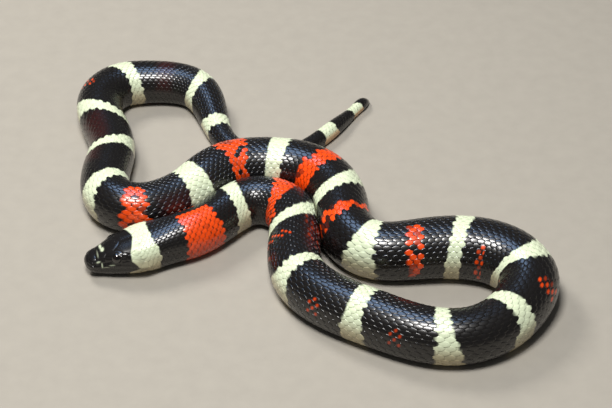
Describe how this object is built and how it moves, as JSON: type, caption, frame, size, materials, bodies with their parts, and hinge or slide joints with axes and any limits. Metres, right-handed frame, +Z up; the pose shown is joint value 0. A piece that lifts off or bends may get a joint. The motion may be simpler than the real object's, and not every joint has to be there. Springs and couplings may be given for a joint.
{
  "type": "milk snake",
  "caption": "Life-size milk snake lying in loose bends, glossy black with pale rings and patches of red, head and tail tip on the floor.",
  "frame": {"origin": "on the floor, below the middle of the snake's own box", "axes": "+Z up; +X from the head's side towards the widest bend; +Y from the front bend towards the tail"},
  "size_m": [0.1876, 0.1738, 0.0224],
  "materials": {
    "skin": "glossy overlapping scales, black with pale green-white rings and red patches",
    "head_skin": "smooth glossy shields",
    "eye": "wet, dark"
  },
  "bodies": {
    "root": {"head": "head_skin", "lower_jaw": "head_skin", "eye_left": "eye", "eye_right": "eye", "neck": "skin", "body_01": "skin", "body_02": "skin", "body_03": "skin", "body_04": "skin", "body_05": "skin", "body_06": "skin", "body_07": "skin", "body_08": "skin", "body_09": "skin", "body_10": "skin", "body_11": "skin", "body_12": "skin", "body_13": "skin", "body_14": "skin", "body_15": "skin", "tail_1": "skin", "tail_2": "skin", "tail_tip": "skin"}
  },
  "joints": []
}
